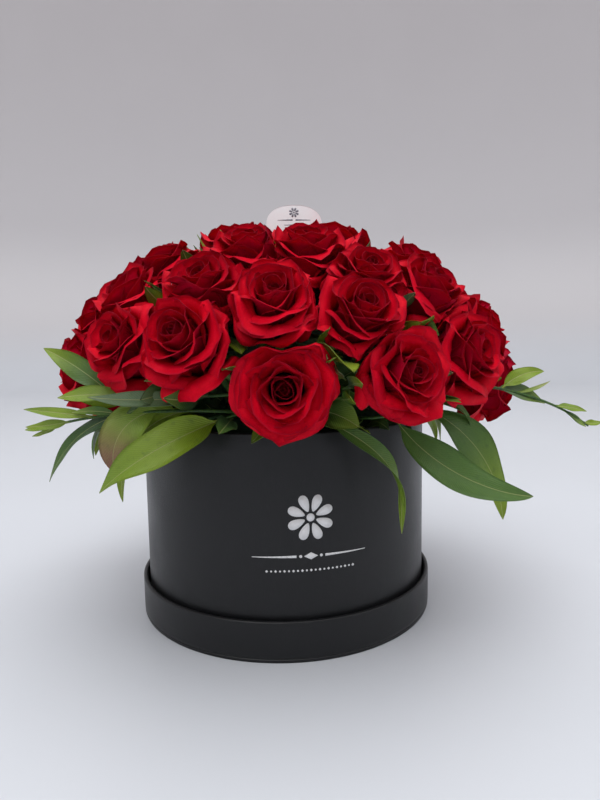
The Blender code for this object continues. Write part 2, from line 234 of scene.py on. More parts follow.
def mesh_points(mesh):
    """The corners of a mesh as an array."""
    points = np.empty(len(mesh.vertices) * 3)
    mesh.vertices.foreach_get("co", points)
    return points.reshape(-1, 3)


class Surfaces:
    """Gathers faces for one mesh, with a place and a tint for every point."""

    def __init__(self):
        self.points, self.faces, self.slots = [], [], []
        self.place, self.tint, self.count = [], [], 0

    def add(self, points, faces, slot=0, place=None, tint=None):
        amount = len(points)
        self.points.append(points)
        self.faces += [tuple(corner + self.count for corner in face) for face in faces]
        self.slots.append(np.full(len(faces), slot))
        self.place.append(np.zeros((amount, 3)) if place is None else place)
        self.tint.append(np.ones((amount, 4)) if tint is None else tint)
        self.count += amount

    def mesh(self, name, materials):
        made = bpy.data.meshes.new(name)
        made.from_pydata(np.concatenate(self.points).tolist(), [], self.faces)
        for material in materials:
            made.materials.append(material)
        made.polygons.foreach_set("material_index", np.concatenate(self.slots).astype(np.int32))
        place = made.attributes.new("place", "FLOAT_VECTOR", "POINT")
        place.data.foreach_set("vector", np.concatenate(self.place).astype(np.float32).ravel())
        tint = made.attributes.new("tint", "FLOAT_COLOR", "POINT")
        tint.data.foreach_set("color", np.concatenate(self.tint).astype(np.float32).ravel())
        made.shade_smooth()
        return made


def grid_faces(rows, columns):
    """Triangles of a grid of points stored row by row, all cut along the same diagonal."""
    corner = np.arange(rows * columns).reshape(rows, columns)
    first, second = corner[:-1, :-1].ravel(), corner[:-1, 1:].ravel()
    third, fourth = corner[1:, 1:].ravel(), corner[1:, :-1].ravel()
    halves = ((first, second, third), (first, third, fourth))
    return np.concatenate([np.stack(half, axis=1) for half in halves])


def rim_faces(rows, columns, gap):
    """Quads that join the edges of a grid to those of the same grid stored gap points later."""
    corner = np.arange(rows * columns).reshape(rows, columns)
    edge = np.concatenate([corner[0, :-1], corner[:-1, -1], corner[-1, :0:-1], corner[:0:-1, 0]])
    after = np.roll(edge, -1)
    return np.stack([edge, edge + gap, after + gap, after], axis=1)


def grid_normals(grid):
    """A unit normal for every point of a grid."""
    across = np.gradient(grid, axis=1)
    along = np.gradient(grid, axis=0)
    normal = np.cross(across, along)
    length = np.linalg.norm(normal, axis=2, keepdims=True)
    return normal / np.maximum(length, 1e-12)


def add_sheet(surfaces, grid, thickness, place, tint_top, tint_under, slot=0):
    """A thin closed sheet on a grid: the upper face looks against the grid's normals."""
    rows, columns = grid.shape[:2]
    half = 0.5 * thickness[..., None] * grid_normals(grid)
    upper, under = (grid - half).reshape(-1, 3), (grid + half).reshape(-1, 3)
    amount = rows * columns
    triangles = grid_faces(rows, columns)
    parts = (triangles[:, ::-1], triangles + amount, rim_faces(rows, columns, amount))
    faces = [face for part in parts for face in part.tolist()]
    surfaces.add(
        np.concatenate([upper, under]), faces, slot,
        np.concatenate([place.reshape(-1, 3)] * 2),
        np.concatenate([tint_top.reshape(-1, 4), tint_under.reshape(-1, 4)]),
    )


def tube_rings(route, radii, sides):
    """Rings of points round a route, one after another, with the turn of each kept steady."""
    rings = []
    side = None
    for index, point in enumerate(route):
        ahead, behind = route[min(index + 1, len(route) - 1)], route[max(index - 1, 0)]
        along = (Vector(ahead) - Vector(behind)).normalized()
        side = along.orthogonal().normalized() if side is None else side
        side = (side - along * side.dot(along)).normalized()
        other = along.cross(side)
        for k in range(sides):
            turn = math.tau * k / sides
            rings.append(Vector(point) + radii[index] * (math.cos(turn) * side + math.sin(turn) * other))
    return np.array(rings)


def ring_faces(rings, sides, first=0):
    """Quads between rings of points stored one after another from the first point."""
    faces = []
    for low in range(first, first + (rings - 1) * sides, sides):
        for k in range(sides):
            after = (k + 1) % sides
            faces.append((low + k, low + after, low + sides + after, low + sides + k))
    return faces


def add_tube(surfaces, route, radii, sides, slot, tint):
    """A closed tube along a route, with a flat cap at each end."""
    points = tube_rings(route, radii, sides)
    faces = ring_faces(len(route), sides)
    for first, order in ((0, -1), (len(points) - sides, 1)):
        cap = list(range(first, first + sides))[::order]
        faces += [(cap[k], cap[k + 1], cap[-2 - k], cap[-1 - k]) for k in range(sides // 2 - 1)]
    surfaces.add(points, faces, slot, points, np.tile(tint, (len(points), 1)))


def on_circle(azimuth, radius, height):
    """The point at an azimuth measured from the front (-Y) towards +X, in degrees."""
    turn = math.radians(azimuth)
    return Vector((radius * math.sin(turn), -radius * math.cos(turn), height))


def route_from(start, heading, pitch, turn, droop, length, steps):
    """Points of a curve that turns sideways and droops evenly along its length."""
    points = [start.copy()]
    for k in range(steps):
        share = (k + 0.5) / steps
        yaw = math.radians(heading + turn * share)
        rise = math.radians(pitch - droop * share)
        step = Vector((math.sin(yaw) * math.cos(rise), -math.cos(yaw) * math.cos(rise), math.sin(rise)))
        points.append(points[-1] + step * (length / steps))
    return points


def point_at(route, share):
    """The point at a share of a route's length."""
    place_along = share * (len(route) - 1)
    index = min(int(place_along), len(route) - 2)
    return route[index].lerp(route[index + 1], place_along - index)


# ---- materials ----
class Paint:
    """A material's node tree, built with short calls."""

    def __init__(self, name, **values):
        self.material = bpy.data.materials.new(name)
        self.material.use_nodes = True
        self.tree = self.material.node_tree
        self.shader = self.tree.nodes["Principled BSDF"]
        for socket, value in values.items():
            self.shader.inputs[socket.replace("_", " ")].default_value = value

    def node(self, kind, settings=None, **inputs):
        made = self.tree.nodes.new("ShaderNode" + kind)
        for key, value in (settings or {}).items():
            setattr(made, key, value)
        for key, value in inputs.items():
            socket = made.inputs[int(key[1:])] if key[1:].isdigit() else made.inputs[key.replace("_", " ")]
            self.feed(socket, value)
        return made

    def feed(self, socket, value):
        if isinstance(value, bpy.types.NodeSocket):
            self.tree.links.new(value, socket)
        elif isinstance(value, tuple) and len(value) == 3 and socket.type == "RGBA":
            socket.default_value = (*value, 1.0)
        else:
            socket.default_value = value

    def math(self, operation, first, second=0.0):
        return self.node("Math", {"operation": operation}, _0=first, _1=second).outputs[0]

    def place(self):
        """Where a point is in its object, in metres."""
        return self.node("TexCoord").outputs["Object"]

    def plus(self, first, second):
        return self.math("ADD", first, second)

    def times(self, first, second):
        return self.math("MULTIPLY", first, second)

    def mix(self, share, first, second):
        made = self.node("Mix", {"data_type": "RGBA"}, Factor=share)
        self.feed(made.inputs[6], first)
        self.feed(made.inputs[7], second)
        return made.outputs[2]

    def spread(self, value, low, high, to_low=0.0, to_high=1.0):
        """An S curve from to_low to to_high while the value goes from low to high."""
        made = self.node("MapRange", {"interpolation_type": "SMOOTHSTEP"}, Value=value)
        for socket, number in zip(("From Min", "From Max", "To Min", "To Max"), (low, high, to_low, to_high)):
            made.inputs[socket].default_value = number
        return made.outputs[0]

    def cover(self, mask, low, high, most, colour, other):
        """The colour, with up to this much of another laid over it where the mask is high."""
        return self.mix(self.spread(mask, low, high, 0.0, most), colour, other)

    def noise(self, vector, scale, detail=3.0, roughness=0.55):
        """Noise at one scale, or at one for each axis."""
        if isinstance(scale, tuple):
            vector, scale = self.node("Mapping", None, Vector=vector, Scale=scale).outputs[0], 1.0
        made = self.node("TexNoise", None, Vector=vector, Scale=scale, Detail=detail, Roughness=roughness)
        return made.outputs[0]

    def trait(self, name):
        return self.node("Attribute", {"attribute_name": name})

    def done(self, colour, rough=None, relief=None, deep=0.0, strength=1.0):
        """The finished material: its colour and, where given, its roughness and its relief this deep."""
        self.feed(self.shader.inputs["Base Color"], colour)
        if rough is not None:
            self.feed(self.shader.inputs["Roughness"], rough)
        if relief is not None:
            bump = self.node("Bump", None, Height=relief, Distance=deep, Strength=strength)
            self.feed(self.shader.inputs["Normal"], bump.outputs[0])
        return self.material


def paint_petal():
    """Velvety red: bright where the petal stands open, darkened towards its foot as painted shade deep in the
    bloom, magenta behind, with a painted pale pink highlight at the rim.

    The place is (across, along, seed) in centimetres.
    The tint is (share along, nearness to the rim, back, seed).
    """
    paint = Paint("red_petal", Roughness=0.60, Sheen_Weight=0.05, Sheen_Roughness=0.45,
                  Sheen_Tint=(1.0, 0.06, 0.14, 1.0), Specular_IOR_Level=0.07,
                  Subsurface_Weight=0.10, Subsurface_Scale=0.002,
                  Subsurface_Radius=(1.0, 0.06, 0.05))
    traits = paint.node("SeparateColor", None, Color=paint.trait("tint").outputs["Color"])
    along, rim, back = traits.outputs
    seed = paint.trait("tint").outputs["Alpha"]
    place = paint.trait("place").outputs["Vector"]
    veins = paint.noise(place, (26.0, 3.2, 1.0), 4.0, 0.6)
    clouds = paint.noise(place, (1.6, 1.2, 1.0), 2.0)
    # Painted shade: the front darkens from crimson towards dark red at the petal's foot, deep in the bloom.
    lit = paint.mix(paint.spread(along, 0.15, 0.75), PAINTED_SHADE_RED, CRIMSON)
    lit = paint.cover(clouds, 0.40, 0.72, 0.40, lit, (0.47, 0.0003, 0.010))
    lit = paint.cover(veins, 0.50, 0.75, 0.30, lit, (0.34, 0.0004, 0.010))
    # Painted shade: the back also darkens towards the petal's foot.
    behind = paint.mix(paint.spread(along, 0.10, 0.9), (0.26, 0.0006, 0.012), MAGENTA_RED)
    behind = paint.cover(veins, 0.45, 0.75, 0.50, behind, (0.50, 0.0015, 0.024))
    colour = paint.mix(back, lit, behind)
    shade = paint.times(paint.spread(seed, 0.0, 1.0), 0.35)
    colour = paint.mix(shade, colour, (0.40, 0.0004, 0.014))
    # Painted highlight: a pale pink band along the rim stands in for the sheen of grazing light.
    edge = paint.times(paint.spread(rim, 0.96, 1.0), 0.45)
    colour = paint.mix(edge, colour, PAINTED_RIM_HIGHLIGHT)
    relief = paint.plus(veins, paint.times(clouds, 1.6))
    return paint.done(colour, None, relief, 0.00022, 0.75)


def paint_leaf():
    """A leaf whose own colour is in its tint. The place is (across, along, seed) in centimetres."""
    paint = Paint("leaf_green", Roughness=0.42, Specular_IOR_Level=0.30, Coat_Weight=0.04,
                  Coat_Roughness=0.35, Subsurface_Weight=0.06, Subsurface_Scale=0.0015,
                  Subsurface_Radius=(0.5, 1.0, 0.15))
    tint = paint.trait("tint")
    place = paint.trait("place").outputs["Vector"]
    parts = paint.node("SeparateXYZ", None, Vector=place)
    across = paint.math("ABSOLUTE", parts.outputs[0])
    slant = paint.math("SUBTRACT", parts.outputs[1], paint.times(across, 1.5))
    ribs = paint.math("SINE", paint.times(slant, 30.0))
    ribs = paint.plus(ribs, paint.times(paint.noise(place, 9.0, 3.0), 3.5))
    fibres = paint.noise(place, (34.0, 2.2, 1.0), 3.0)
    patches = paint.noise(place, 2.4, 3.0)
    colour = paint.cover(ribs, 0.6, 1.9, 0.13, tint.outputs["Color"], DARK_GREEN)
    colour = paint.cover(fibres, 0.5, 0.8, 0.25, colour, LIGHT_GREEN)
    colour = paint.cover(patches, 0.55, 0.8, 0.30, colour, DARK_GREEN)
    midrib = paint.times(paint.spread(across, 0.035, 0.012), tint.outputs["Alpha"])
    colour = paint.mix(paint.times(midrib, 0.65), colour, STRAW)
    rough = paint.spread(patches, 0.3, 0.8, 0.36, 0.52)
    relief = paint.plus(paint.times(ribs, 0.35), fibres)
    relief = paint.math("SUBTRACT", relief, paint.times(midrib, 1.4))
    return paint.done(colour, rough, relief, 0.00016, 0.8)


def paint_stem():
    """Fibrous green stem with lighter streaks."""
    paint = Paint("stem_green", Roughness=0.5, Specular_IOR_Level=0.35)
    place = paint.place()
    streaks = paint.noise(place, (900.0, 900.0, 60.0), 3.0)
    colour = paint.mix(paint.spread(streaks, 0.35, 0.7), DARK_GREEN, GREEN)
    return paint.done(colour, None, streaks, 0.0002, 0.6)


def paint_black_paper():
    """Matt charcoal cover paper: fine fibres, a faint cloudiness and small scuffs."""
    paint = Paint("black_paper", Specular_IOR_Level=0.34, Sheen_Weight=0.02)
    place = paint.place()
    grain = paint.noise(place, 2600.0, 4.0, 0.7)
    fibres = paint.noise(place, (700.0, 700.0, 240.0), 4.0, 0.65)
    clouds = paint.noise(place, 22.0, 3.0)
    scuffs = paint.noise(place, (90.0, 90.0, 420.0), 5.0, 0.7)
    colour = paint.mix(clouds, (0.0052, 0.0056, 0.0066), (0.0085, 0.0090, 0.0102))
    colour = paint.cover(fibres, 0.55, 0.80, 0.35, colour, (0.017, 0.018, 0.020))
    colour = paint.cover(scuffs, 0.70, 0.82, 0.30, colour, (0.040, 0.040, 0.042))
    relief = paint.plus(grain, paint.times(fibres, 1.6))
    relief = paint.plus(relief, paint.times(clouds, 3.0))
    rough = paint.spread(clouds, 0.25, 0.75, 0.34, 0.44)
    return paint.done(colour, rough, relief, 0.00010, 0.55)


def paint_board():
    """Raw grey paperboard with flecks of fibre."""
    paint = Paint("grey_board", Roughness=0.88)
    place = paint.place()
    flecks = paint.noise(place, 1400.0, 5.0, 0.75)
    clouds = paint.noise(place, 60.0, 3.0)
    colour = paint.mix(paint.spread(flecks, 0.35, 0.70), (0.20, 0.18, 0.15), (0.34, 0.31, 0.27))
    colour = paint.cover(clouds, 0.4, 0.7, 0.3, colour, (0.26, 0.23, 0.19))
    return paint.done(colour, None, flecks, 0.0002, 0.6)


def paint_liner():
    """Frosted waterproof plastic with drawn-out creases."""
    paint = Paint("liner_film", Transmission_Weight=0.55, IOR=1.45, Specular_IOR_Level=0.5)
    place = paint.place()
    creases = paint.noise(place, (60.0, 60.0, 14.0), 2.0, 0.45)
    colour = paint.mix(creases, (0.52, 0.60, 0.56), (0.74, 0.80, 0.76))
    rough = paint.spread(creases, 0.3, 0.7, 0.24, 0.42)
    return paint.done(colour, rough, creases, 0.0008, 0.5)


def paint_foam():
    """Soaked floral foam: dark green, kept darker still as painted shade for the hollow under the blooms,
    open celled, with crumbs and pricks.
    """
    paint = Paint("floral_foam", Specular_IOR_Level=0.3)
    place = paint.place()
    cells = paint.node("TexVoronoi", None, Vector=place, Scale=1500.0).outputs["Distance"]
    crumbs = paint.noise(place, 240.0, 5.0, 0.7)
    clouds = paint.noise(place, 26.0, 3.0)
    # Painted shade: both greens are kept very dark for the hollow under the blooms, where the foam lies in
    # shade.
    colour = paint.mix(paint.spread(crumbs, 0.35, 0.7), (0.008, 0.022, 0.011), (0.022, 0.052, 0.024))
    colour = paint.cover(clouds, 0.4, 0.7, 0.5, colour, (0.006, 0.016, 0.009))
    rough = paint.spread(clouds, 0.3, 0.7, 0.62, 0.9)
    relief = paint.plus(cells, crumbs)
    return paint.done(colour, rough, relief, 0.0006, 0.8)


def paint_card():
    """White card stock with a very faint tooth, and a soft blush towards one end."""
    paint = Paint("white_card", Specular_IOR_Level=0.5)
    place = paint.place()
    tooth = paint.noise(place, 1800.0, 3.0)
    side = paint.node("SeparateXYZ", None, Vector=place).outputs[0]
    blush = paint.spread(side, 0.018, 0.040, 0.0, 0.35)
    colour = paint.mix(tooth, (0.76, 0.755, 0.76), (0.86, 0.85, 0.86))
    colour = paint.mix(blush, colour, (0.80, 0.42, 0.46))
    rough = paint.spread(tooth, 0.3, 0.7, 0.34, 0.46)
    return paint.done(colour, rough, tooth, 0.00005, 0.4)


def paint_clear():
    """Clear moulded plastic of the pick, with faint flow lines."""
    paint = Paint("clear_plastic", Transmission_Weight=0.85, IOR=1.49)
    place = paint.place()
    flow = paint.noise(place, (300.0, 300.0, 40.0), 3.0)
    colour = paint.mix(flow, (0.82, 0.86, 0.85), (0.92, 0.94, 0.93))
    rough = paint.spread(flow, 0.3, 0.7, 0.08, 0.20)
    return paint.done(colour, rough, flow, 0.0001, 0.3)


def paint_print(name, light, dark):
    """Printed ink with a slightly uneven lay."""
    paint = Paint(name, Roughness=0.42)
    place = paint.place()
    lay = paint.noise(place, 900.0, 4.0, 0.6)
    colour = paint.mix(lay, dark, light)
    return paint.done(colour, None, lay, 0.00003, 0.4)


def paint_water():
    """Drops of water, barely uneven."""
    paint = Paint("water", Transmission_Weight=1.0, IOR=1.33)
    place = paint.place()
    film = paint.noise(place, 500.0, 2.0)
    colour = paint.mix(film, (0.96, 0.97, 0.98), (1.0, 1.0, 1.0))
    rough = paint.spread(film, 0.3, 0.7, 0.01, 0.05)
    return paint.done(colour, rough)


def paint_backdrop():
    """Pale studio floor with a hint of mottling and a soft gloss; the wall it curves into carries painted
    shade that darkens it towards its top.
    """
    paint = Paint("studio_floor", Specular_IOR_Level=0.35)
    place = paint.place()
    mottle = paint.noise(place, 3.0, 3.0)
    height = paint.node("SeparateXYZ", None, Vector=place).outputs[2]
    floor = paint.mix(mottle, (0.575, 0.595, 0.63), (0.615, 0.635, 0.67))
    # Painted shade: the wall darkens from pale grey towards its top, where less light reaches it.
    wall = paint.mix(paint.spread(height, 0.3, 2.2), (0.60, 0.58, 0.59), (0.41, 0.385, 0.395))
    colour = paint.mix(paint.spread(height, 0.02, 0.35), floor, wall)
    rough = paint.spread(mottle, 0.3, 0.7, 0.30, 0.38)
    return paint.done(colour, rough)


PETAL = paint_petal()
LEAF = paint_leaf()
STEM = paint_stem()
BLACK = paint_black_paper()
GREY_BOARD = paint_board()
WHITE_INK = paint_print("white_ink", (0.86, 0.86, 0.86), (0.74, 0.74, 0.75))
GREY_INK = paint_print("grey_ink", (0.20, 0.20, 0.24), (0.12, 0.12, 0.15))


# ---- hat box and tray ----
def arc(centre_radius, centre_height, wide, tall, first, last, steps):
    """Points of an elliptical arc in a turned section, angles in degrees from outwards to up."""
    points = []
    for k in range(steps + 1):
        turn = math.radians(first + (last - first) * k / steps)
        points.append((centre_radius + wide * math.cos(turn), centre_height + tall * math.sin(turn)))
    return points


def ring(radius, height, turns):
    """Points round the upright axis; the radius is one number or one for each turn."""
    return np.stack([radius * np.cos(turns), radius * np.sin(turns), np.full(len(turns), height)], axis=1)


def turned(name, section, material, body, node, seam=0.0, segments=ROUND):
    """A shell spun from a closed section of (radius, height) points, with a paper seam at its back."""
    turns = np.arange(segments) * math.tau / segments
    outer = max(radius for radius, _ in section)
    reach = outer * np.abs((turns - math.pi / 2 + math.pi) % math.tau - math.pi)
    raised = seam * smooth((SEAM_WIDTH / 2 - reach) / SEAM_SLOPE + 0.5)
    points = [
        ring(radius + (raised if radius > outer - SEAM_SLOPE else 0 * raised), height, turns)
        for radius, height in section
    ]
    count = len(section)
    faces = ring_faces(count, segments)
    for low, high, after, last in ring_faces(2, segments, (count - 1) * segments):
        faces.append((low, high, after - count * segments, last - count * segments))
    surfaces = Surfaces()
    surfaces.add(np.concatenate(points), faces)
    mesh = surfaces.mesh(name, [material])
    mesh.set_sharp_from_angle(angle=math.radians(SHARP_ANGLE))
    piece = linked(name, mesh)
    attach(piece, body)
    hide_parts(node)
    return piece


def build_paper_shell(name, node, board_node, body, inside_foot):
    """Cover paper that runs up the outside, over a rounded lip and down inside."""
    low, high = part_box(node)
    outer, top, foot = high.x, high.z, low.z
    thick = BOARD + 2 * (PAPER + FIT)
    middle, half = outer - thick / 2, thick / 2
    section = [(outer - 0.0003, foot), (outer, foot + PAPER)]
    section += [(outer, foot + (top - foot) * k / 12) for k in range(1, 12)]
    section += arc(middle, top - LIP, half, LIP, 0, 180, 10)
    section += [(middle - half, inside_foot + 0.0003), (middle - half + PAPER, inside_foot)]
    section += arc(middle, top - LIP - PAPER, half - PAPER, LIP - PAPER, 180, 0, 8)
    section += [(outer - PAPER, foot)]
    turned(name, section, BLACK, body, node, seam=SEAM_STEP)
    low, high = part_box(board_node)
    inner = high.x - BOARD
    section = [(high.x, low.z), (high.x, high.z), (inner, high.z), (inner, low.z)]
    turned(board_node + "_board", section, GREY_BOARD, body, board_node)


def build_disc(name, node, body, material):
    """A round panel with softened edges."""
    low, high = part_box(node)
    radius, soft = high.x, SOFT_EDGE
    section = [(POLE, low.z), (radius * 0.5, low.z), (radius - soft, low.z), (radius, low.z + soft)]
    section += [(radius, high.z - soft), (radius - soft, high.z), (radius * 0.5, high.z), (POLE, high.z)]
    turned(name, section, material, body, node)


def build_box_and_tray():
    """The lid that serves as a tray, and the box that stands in it."""
    build_paper_shell("lid_cover", "lid_wrap", "lid_band", "tray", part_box("lid_wrap")[0].z)
    build_disc("lid_base", "lid_panel", "tray", BLACK)
    paper_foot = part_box("box_wrap")[1].z - PAPER_INSIDE
    build_paper_shell("box_cover", "box_wrap", "box_wall", "box", paper_foot)
    build_disc("box_base", "box_floor", "box", BLACK)


# ---- liner and foam ----
def build_liner():
    """The waterproof cup that holds the foam."""
    low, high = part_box("liner")
    radius, foot, top, corner = high.x, low.z, high.z, 0.002
    inner = radius - LINER_WALL
    section = [(POLE, foot), (radius - corner, foot), (radius, foot + corner)]
    section += [(radius, foot + (top - foot) * k / 10) for k in range(1, 11)]
    section += [(inner, top), (inner, foot + 0.003)]
    section += [(inner - corner, foot + LINER_WALL), (POLE, foot + LINER_WALL)]
    turned("liner_cup", section, paint_liner(), "arrangement", "liner", segments=96)


def build_foam():
    """The foam block: soft carved dome with a crumbly surface."""
    low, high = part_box("foam")
    outline = [(0.0005, low.z), (high.x * 0.5, low.z), (high.x, low.z), (high.x, 0.08), (high.x, 0.130)]
    outline += [(0.096, 0.142), (0.080, 0.166), (0.060, 0.192), (0.034, 0.214), (0.0005, 0.222)]
    radii, heights = np.array(outline).T
    reach = np.concatenate([[0], np.cumsum(np.hypot(np.diff(radii), np.diff(heights)))])
    steps = np.linspace(0, reach[-1], 72)
    section = list(zip(np.interp(steps, reach, radii), np.interp(steps, reach, heights)))
    piece = turned("foam_block", section, paint_foam(), "arrangement", "foam", segments=120)
    points = mesh_points(piece.data)
    rng = np.random.default_rng(5)
    above = smooth((points[:, 2] - 0.132) / 0.01)
    crumble = np.zeros(len(points))
    for wave in rng.normal(0, 260, (14, 3)):
        crumble += np.sin(points @ wave + rng.uniform(0, math.tau))
    shrink = 1 - above * (0.010 + 0.0028 * crumble)
    points[:, :2] *= shrink[:, None]
    piece.data.vertices.foreach_set("co", points.ravel())
    piece.data.shade_smooth()


# ---- roses ----
class Bloom:
    """Where one rose sits: its tip, the way it faces and the foot of its stem, found on its CAD node."""

    def __init__(self, node):
        self.node = node
        points = mesh_points(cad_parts[node].data)
        spread = np.array((DOME_RADIUS, DOME_RADIUS, DOME_RISE))
        middle = np.array((DOME_OFFSET, 0.0, DOME_BASE))
        tip = points[np.argmax(np.sum(((points - middle) / spread) ** 2, axis=1))]
        for _ in range(8):
            facing = (tip - middle) / spread**2
            facing /= np.linalg.norm(facing)
            height = points @ facing
            tip = points[height > height.max() - 0.0018].mean(axis=0)
        self.tip = Vector(tip)
        self.facing = Vector(facing)
        self.heart = self.tip - self.facing * 0.020
        away = np.linalg.norm(points - tip, axis=1)
        last = points[np.argmax(away)]
        self.foot = Vector(points[np.linalg.norm(points - last, axis=1) < 0.0055].mean(axis=0))

    def matrix(self, spin):
        """The bloom's own frame: its foot at the calyx, +Z the way it faces."""
        turned_to = self.facing.to_track_quat("Z", "Y").to_matrix().to_4x4()
        start = Matrix.Translation(self.tip - self.facing * BLOOM_LENGTH)
        return start @ turned_to @ Matrix.Rotation(spin, 4, "Z")


BLOOM_NODES = sorted(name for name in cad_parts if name.startswith("rose_"))
BLOOMS = {name: Bloom(name) for name in BLOOM_NODES}

# Habit of a bloom: how wide it opens, how deep its heart lies, how far its outer petals roll back,
# how it is turned about its own axis (degrees), and its ears: outer petals that stand up, each with
# the way it points and its share of the usual roll. Blooms not named get a seeded habit.
HABITS = {
    "rose_low_01": {"open": 0.96, "deep": 0.9, "roll": 0.8, "spin": 20, "ears": ((92, 0.30), (12, 0.55))},
    "rose_low_02": {"open": 0.98, "deep": 0.2, "roll": 1.0, "spin": 130, "ears": ((70, 0.6), (300, 0.7))},
    "rose_low_15": {"open": 1.04, "deep": 0.1, "roll": 0.9, "spin": 250, "ears": ((215, 0.7),)},
    "rose_middle_01": {"open": 0.97, "deep": 0.5, "roll": 0.9, "spin": 60, "ears": ((150, 0.6),)},
    "rose_middle_02": {"open": 0.95, "deep": 0.6, "roll": 0.8, "spin": 310},
}


class Petal:
    """Shape of one petal in a bloom: share is 0 for the innermost and 1 for the outermost.

    The angles are the petal's slope, in degrees, at four places from its foot to its rim.
    """

    def __init__(self, share, turn, habit, rng):
        def at(*values):
            return np.interp(share, (0.0, 0.3, 0.6, 0.85, 1.0), values)

        self.share, self.turn, self.rng = share, turn, rng
        self.rim_radius = 1e-3 * at(1.0, 7.0, 15.0, 23.0, 30.0) * habit["open"]
        depth = habit["deep"] * 6.0 * (1 - smooth(share / 0.45))
        self.rim_height = 1e-3 * (at(43.0, 45.5, 46.0, 43.0, 35.0) - depth)
        self.rim_height += 1e-3 * rng.normal(0, 0.7)
        self.rim_radius *= 1 + rng.normal(0, 0.02 + 0.04 * share**3)
        self.half_width = 1e-3 * at(8.0, 16.0, 23.0, 26.0, 25.0)
        self.angles = [
            at(60, 44, 26, 14, 8), at(90, 84, 76, 64, 50), at(98, 96, 86, 68, 50), at(112, 98, 74, 46, 24),
        ]
        self.roll = habit["roll"] * at(0.10, 0.50, 0.95, 1.35, 1.65)
        self.roll *= rng.uniform(0.75, 1.25)
        self.roll_from = at(0.88, 0.78, 0.66, 0.56, 0.48)
        self.point = at(0.0, 0.02, 0.05, 0.08, 0.11) * rng.uniform(0.5, 1.3)
        self.ruffle = at(0.02, 0.06, 0.14, 0.22, 0.28) * rng.uniform(0.5, 1.3)
        self.flat = at(0.0, 0.0, 0.06, 0.16, 0.3) * rng.uniform(0.8, 1.2)
        self.columns = int(at(15, 17, 19, 21, 21))
        self.rows = int(at(9, 10, 12, 14, 15))

    def grid(self):
        """(grid of points in the bloom's frame, share along, across -1 to 1, place in centimetres)"""
        rng = self.rng
        across = np.sin(np.linspace(-0.5, 0.5, self.columns) * math.pi)[None, :]
        along = np.linspace(0, 1, self.rows)[:, None] ** 0.85
        round_end = np.maximum(1 - np.abs(across) ** 3.6, 0.0) ** 0.5
        reach = 0.55 + 0.45 * round_end + self.point * np.exp(-((across / 0.15) ** 2))
        share = along * reach
        base_radius = 0.0018 + 0.0030 * self.share
        base_height = 0.0050 - 0.0035 * self.share
        span = math.hypot(self.rim_radius - base_radius, self.rim_height - base_height)
        length = span * (1.10 + 0.12 * self.share)

        stations = (0.0, 0.35, 0.7, 1.0)
        plain = np.linspace(0, 1.15, 60)
        angle = np.radians(np.interp(plain, stations, self.angles))
        step = length * np.diff(plain)
        run = base_radius + np.concatenate([[0], np.cumsum(np.cos(angle[1:]) * step)])
        climb = base_height + np.concatenate([[0], np.cumsum(np.sin(angle[1:]) * step)])
        out = self.rim_radius - np.interp(1.0, plain, run)
        up = self.rim_height - np.interp(1.0, plain, climb)

        bend = smooth((along - self.roll_from) / (1.06 - self.roll_from)) ** 1.1
        sides = 0.55 + 0.45 * smooth(np.abs(across) / 0.6)
        wave = self.ruffle * np.sin(across * rng.uniform(4, 7) + rng.uniform(0, 6)) * along**3
        lean = np.radians(np.interp(share, stations, self.angles))
        lean = lean - self.roll * bend * sides + wave
        pace = length * np.diff(share, axis=0)
        r = base_radius + np.concatenate([np.zeros_like(reach), np.cumsum(np.cos(lean[1:]) * pace, axis=0)])
        z = base_height + np.concatenate([np.zeros_like(reach), np.cumsum(np.sin(lean[1:]) * pace, axis=0)])
        r = r + out * np.clip(share, 0, 1.1) ** 1.4
        z = z + up * np.clip(share, 0, 1.1)

        width = self.half_width * (0.30 + 0.70 * np.sin(0.5 * math.pi * np.minimum(1, share / 0.72)))
        middle = np.interp(share, plain, run) + out * np.clip(share, 0, 1.1) ** 1.4
        half_turn = np.minimum(width / np.maximum(middle, 0.0016), 2.75)
        turn = across * half_turn
        r = r * (1 + self.flat * (1 / np.cos(np.clip(turn, -0.85, 0.85)) - 1))
        r = r + across * (0.0005 + 0.0004 * self.share) * along
        r = np.maximum(r, 0.0003)
        z = z - 0.0016 * self.share * (across**2) * along
        theta = self.turn + turn
        points = np.stack([r * np.cos(theta), r * np.sin(theta), z + 0 * theta], axis=2)

        folds = np.zeros_like(r)
        for _ in range(3):
            pitch = rng.normal(0, 150, 3)
            folds = folds + np.sin(points @ pitch + rng.uniform(0, 6))
        points += grid_normals(points) * (0.00020 * folds * along)[..., None] * (0.4 + self.share)
        seed = 3.1 * rng.uniform(0, 9)
        place = np.stack([across * width * 100, share * length * 100, 0 * share + seed], axis=2)
        return points, share, across + 0 * share, place


def past_seam(points, bloom, other):
    """How far points are past the wavy, leaning seam between two blooms, and the way they are pushed."""
    first, second = sorted((bloom, other), key=lambda entry: entry.node)
    axis = (second.heart - first.heart).normalized()
    up = first.facing + second.facing
    up = (up - axis * up.dot(axis)).normalized()
    phase = 1.7 * BLOOM_NODES.index(first.node) + 2.9 * BLOOM_NODES.index(second.node)
    away = points - np.array((first.heart + second.heart) / 2)
    along = away @ np.array(axis.cross(up))
    wave = 0.0020 * np.sin(170 * along + phase) + 0.0010 * np.sin(390 * along + 2 * phase)
    past = away @ np.array(axis) + 0.45 * math.sin(3.1 * phase) * (away @ np.array(up)) + wave
    sign = 1 if bloom is first else -1
    return sign * past, sign * np.array(axis)


def squeezed(points, bloom, others):
    """Presses a bloom's points back from the seams half way to its neighbours."""
    soft = SEAM_SOFTNESS
    for other in others:
        if other is bloom or (other.heart - bloom.heart).length > CLOSE_BLOOMS:
            continue
        past, normal = past_seam(points, bloom, other)
        over = np.maximum(past + soft + SEAM_GAP, 0.0)
        back = over - soft * (1 - np.exp(-over / soft))
        points = points - back[..., None] * normal
    return points


